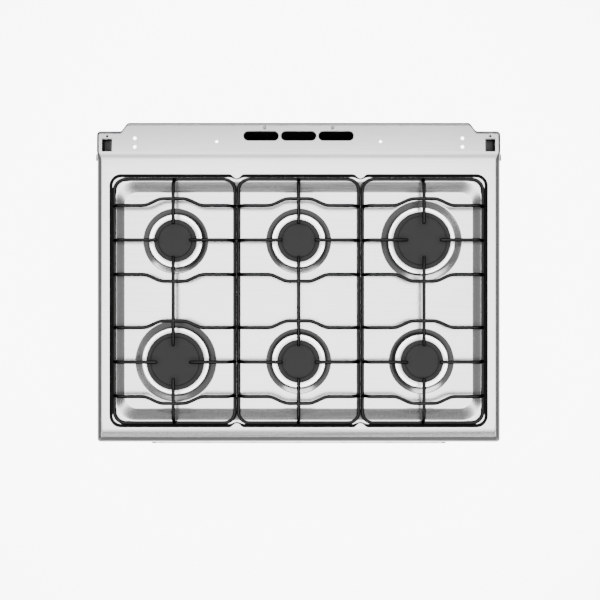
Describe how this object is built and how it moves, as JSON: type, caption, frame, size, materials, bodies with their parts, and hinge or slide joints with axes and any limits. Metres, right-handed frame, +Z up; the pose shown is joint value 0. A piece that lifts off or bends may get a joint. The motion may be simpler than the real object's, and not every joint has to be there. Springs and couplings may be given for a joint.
{
  "type": "freestanding gas range",
  "caption": "Freestanding gas range with a pressed steel cooktop, round-wire pan grates, an oven with a drop-down door and a storage drawer.",
  "frame": {"origin": "middle of the overall footprint, on the floor under the feet", "axes": "+Z up, +Y towards the back, +X to the right of a person facing the front, who stands on the -Y side"},
  "size_m": [0.764, 0.625, 0.924],
  "materials": {
    "stainless": "brushed stainless sheet, satin",
    "handle_steel": "brushed stainless bar, satin",
    "side_paint": "grey satin paint on sheet steel",
    "galvanised": "dull zinc-coated sheet steel",
    "oven_enamel": "glossy dark enamel with fine pale specks",
    "pipe_steel": "dull grey steel pipe",
    "tube_aluminium": "bent plain aluminium tube",
    "brass": "machined brass",
    "wool": "mineral wool blanket",
    "duct_black": "matt black heat-resistant paint",
    "cast_aluminium": "cast and turned aluminium",
    "ceramic": "white glazed ceramic",
    "moulded_black": "moulded black plastic",
    "gasket": "dark heat-resistant seal",
    "screw_steel": "plated steel",
    "foot_plastic": "black plastic foot",
    "knob_plastic": "dark satin plastic",
    "dark_glass": "dark tinted toughened glass",
    "clear_glass": "clear heat-resistant glass",
    "rack_chrome": "bright plated wire",
    "grate_enamel": "satin black enamel on steel wire",
    "cap_enamel": "matt black enamel"
  },
  "bodies": {
    "body": {"cooktop_panel": "stainless", "side_panel_left": "side_paint", "side_panel_right": "side_paint", "back_panel": "galvanised", "base_frame": "galvanised", "front_frame": "galvanised", "control_panel": "stainless", "oven_cavity": "oven_enamel", "oven_floor_plate": "oven_enamel", "oven_burner": "pipe_steel", "oven_insulation": "wool", "flue_duct": "duct_black", "gas_manifold": "pipe_steel", "gas_valves": "brass", "supply_tubes": "tube_aluminium", "burner_heads": "cast_aluminium", "igniter_electrodes": "ceramic", "lid_hinge_sockets": "duct_black", "spark_module": "moulded_black", "door_gasket": "gasket", "drawer_rails": "galvanised", "panel_screws": "screw_steel", "hinge_brackets": "galvanised"},
    "door": {"door_panel": "stainless", "door_outer_glass": "dark_glass", "door_inner_glass": "clear_glass", "door_liner": "oven_enamel", "door_handle": "handle_steel", "hinge_blocks": "galvanised"},
    "drawer": {"drawer_front": "stainless", "drawer_box": "galvanised"},
    "oven_rack": {"oven_rack": "rack_chrome"},
    "ignition_button": {"ignition_button": "knob_plastic"},
    "foot_front_left": {"foot_front_left": "foot_plastic"},
    "foot_front_right": {"foot_front_right": "foot_plastic"},
    "foot_rear_left": {"foot_rear_left": "foot_plastic"},
    "foot_rear_right": {"foot_rear_right": "foot_plastic"},
    "valve_stem_1": {"valve_stem_1": "brass"},
    "valve_stem_2": {"valve_stem_2": "brass"},
    "valve_stem_3": {"valve_stem_3": "brass"},
    "valve_stem_4": {"valve_stem_4": "brass"},
    "valve_stem_5": {"valve_stem_5": "brass"},
    "valve_stem_6": {"valve_stem_6": "brass"},
    "valve_stem_7": {"valve_stem_7": "brass"},
    "knob_1": {"knob_1": "knob_plastic"},
    "knob_2": {"knob_2": "knob_plastic"},
    "knob_3": {"knob_3": "knob_plastic"},
    "knob_4": {"knob_4": "knob_plastic"},
    "knob_5": {"knob_5": "knob_plastic"},
    "knob_6": {"knob_6": "knob_plastic"},
    "knob_7": {"knob_7": "knob_plastic"},
    "grate_left": {"grate_left": "grate_enamel"},
    "grate_middle": {"grate_middle": "grate_enamel"},
    "grate_right": {"grate_right": "grate_enamel"},
    "burner_cap_rear_left": {"burner_cap_rear_left": "cap_enamel"},
    "burner_cap_rear_middle": {"burner_cap_rear_middle": "cap_enamel"},
    "burner_cap_rear_right": {"burner_cap_rear_right": "cap_enamel"},
    "burner_cap_front_left": {"burner_cap_front_left": "cap_enamel"},
    "burner_cap_front_middle": {"burner_cap_front_middle": "cap_enamel"},
    "burner_cap_front_right": {"burner_cap_front_right": "cap_enamel"}
  },
  "joints": [
    {"name": "foot_front_left_screw", "type": "slide", "parent": "body", "child": "foot_front_left", "axis": [0, 0, 1], "range_m": [0, 0.012]},
    {"name": "foot_front_right_screw", "type": "slide", "parent": "body", "child": "foot_front_right", "axis": [0, 0, 1], "range_m": [0, 0.012]},
    {"name": "foot_rear_left_screw", "type": "slide", "parent": "body", "child": "foot_rear_left", "axis": [0, 0, 1], "range_m": [0, 0.012]},
    {"name": "foot_rear_right_screw", "type": "slide", "parent": "body", "child": "foot_rear_right", "axis": [0, 0, 1], "range_m": [0, 0.012]},
    {"name": "knob_1_push", "type": "slide", "parent": "body", "child": "valve_stem_1", "axis": [0, 1, 0], "range_m": [0, 0.003], "stiffness_N_per_m": 2000},
    {"name": "knob_1_turn", "type": "hinge", "parent": "valve_stem_1", "child": "knob_1", "pos_m": [-0.264, -0.2785, 0.813], "axis": [0, -1, 0], "range_deg": [0, 210]},
    {"name": "knob_2_push", "type": "slide", "parent": "body", "child": "valve_stem_2", "axis": [0, 1, 0], "range_m": [0, 0.003], "stiffness_N_per_m": 2000},
    {"name": "knob_2_turn", "type": "hinge", "parent": "valve_stem_2", "child": "knob_2", "pos_m": [-0.176, -0.2785, 0.813], "axis": [0, -1, 0], "range_deg": [0, 210]},
    {"name": "knob_3_push", "type": "slide", "parent": "body", "child": "valve_stem_3", "axis": [0, 1, 0], "range_m": [0, 0.003], "stiffness_N_per_m": 2000},
    {"name": "knob_3_turn", "type": "hinge", "parent": "valve_stem_3", "child": "knob_3", "pos_m": [-0.088, -0.2785, 0.813], "axis": [0, -1, 0], "range_deg": [0, 210]},
    {"name": "knob_4_push", "type": "slide", "parent": "body", "child": "valve_stem_4", "axis": [0, 1, 0], "range_m": [0, 0.003], "stiffness_N_per_m": 2000},
    {"name": "knob_4_turn", "type": "hinge", "parent": "valve_stem_4", "child": "knob_4", "pos_m": [0, -0.2785, 0.813], "axis": [0, -1, 0], "range_deg": [0, 270]},
    {"name": "knob_5_push", "type": "slide", "parent": "body", "child": "valve_stem_5", "axis": [0, 1, 0], "range_m": [0, 0.003], "stiffness_N_per_m": 2000},
    {"name": "knob_5_turn", "type": "hinge", "parent": "valve_stem_5", "child": "knob_5", "pos_m": [0.088, -0.2785, 0.813], "axis": [0, -1, 0], "range_deg": [0, 210]},
    {"name": "knob_6_push", "type": "slide", "parent": "body", "child": "valve_stem_6", "axis": [0, 1, 0], "range_m": [0, 0.003], "stiffness_N_per_m": 2000},
    {"name": "knob_6_turn", "type": "hinge", "parent": "valve_stem_6", "child": "knob_6", "pos_m": [0.176, -0.2785, 0.813], "axis": [0, -1, 0], "range_deg": [0, 210]},
    {"name": "knob_7_push", "type": "slide", "parent": "body", "child": "valve_stem_7", "axis": [0, 1, 0], "range_m": [0, 0.003], "stiffness_N_per_m": 2000},
    {"name": "knob_7_turn", "type": "hinge", "parent": "valve_stem_7", "child": "knob_7", "pos_m": [0.264, -0.2785, 0.813], "axis": [0, -1, 0], "range_deg": [0, 210]},
    {"name": "ignition_press", "type": "slide", "parent": "body", "child": "ignition_button", "axis": [0, 1, 0], "range_m": [0, 0.003], "stiffness_N_per_m": 1000},
    {"name": "door_hinge", "type": "hinge", "parent": "body", "child": "door", "pos_m": [0, -0.2545, 0.294], "axis": [1, 0, 0], "range_deg": [0, 90], "stiffness_Nm_per_rad": 5, "springref_deg": -17.19},
    {"name": "drawer_slide", "type": "slide", "parent": "body", "child": "drawer", "axis": [0, -1, 0], "range_m": [0, 0.35]},
    {"name": "rack_slide", "type": "slide", "parent": "body", "child": "oven_rack", "axis": [0, -1, 0], "range_m": [0, 0.02]},
    {"name": "grate_left_lift", "type": "slide", "parent": "body", "child": "grate_left", "axis": [0, 0, 1], "range_m": [0, 0.12]},
    {"name": "grate_middle_lift", "type": "slide", "parent": "body", "child": "grate_middle", "axis": [0, 0, 1], "range_m": [0, 0.12]},
    {"name": "grate_right_lift", "type": "slide", "parent": "body", "child": "grate_right", "axis": [0, 0, 1], "range_m": [0, 0.12]},
    {"name": "burner_cap_rear_left_lift", "type": "slide", "parent": "body", "child": "burner_cap_rear_left", "axis": [0, 0, 1], "range_m": [0, 0.012]},
    {"name": "burner_cap_rear_middle_lift", "type": "slide", "parent": "body", "child": "burner_cap_rear_middle", "axis": [0, 0, 1], "range_m": [0, 0.012]},
    {"name": "burner_cap_rear_right_lift", "type": "slide", "parent": "body", "child": "burner_cap_rear_right", "axis": [0, 0, 1], "range_m": [0, 0.012]},
    {"name": "burner_cap_front_left_lift", "type": "slide", "parent": "body", "child": "burner_cap_front_left", "axis": [0, 0, 1], "range_m": [0, 0.012]},
    {"name": "burner_cap_front_middle_lift", "type": "slide", "parent": "body", "child": "burner_cap_front_middle", "axis": [0, 0, 1], "range_m": [0, 0.012]},
    {"name": "burner_cap_front_right_lift", "type": "slide", "parent": "body", "child": "burner_cap_front_right", "axis": [0, 0, 1], "range_m": [0, 0.012]}
  ]
}
